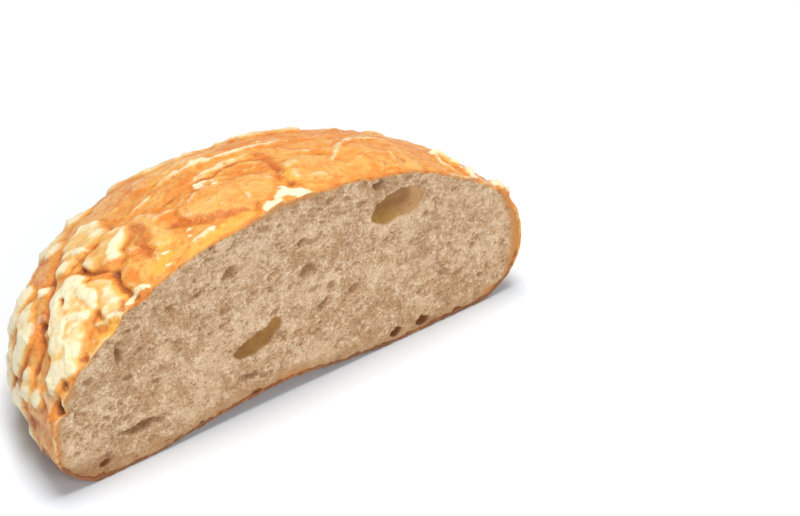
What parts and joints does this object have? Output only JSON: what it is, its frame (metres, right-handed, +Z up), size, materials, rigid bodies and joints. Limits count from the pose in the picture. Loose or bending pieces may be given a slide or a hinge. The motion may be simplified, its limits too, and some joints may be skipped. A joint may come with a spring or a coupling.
{
  "type": "cheese roll, cut half of a round loaf",
  "caption": "Half of a round wheat loaf with cheese baked onto its crust, cut through the middle, standing on its flat base with the open crumb facing forward.",
  "frame": {"origin": "middle of the bounding box's bottom, on the board that the loaf stands on", "axes": "+X along the cut, to the right as one faces the crumb; the cut face looks along -Y; +Z is up"},
  "size_m": [0.1712, 0.0802, 0.0736],
  "materials": {
    "baked_crust": "satin",
    "crumb": "matte",
    "baked_cheese": "satin"
  },
  "bodies": {
    "root": {"bread": "baked_crust"}
  },
  "joints": []
}
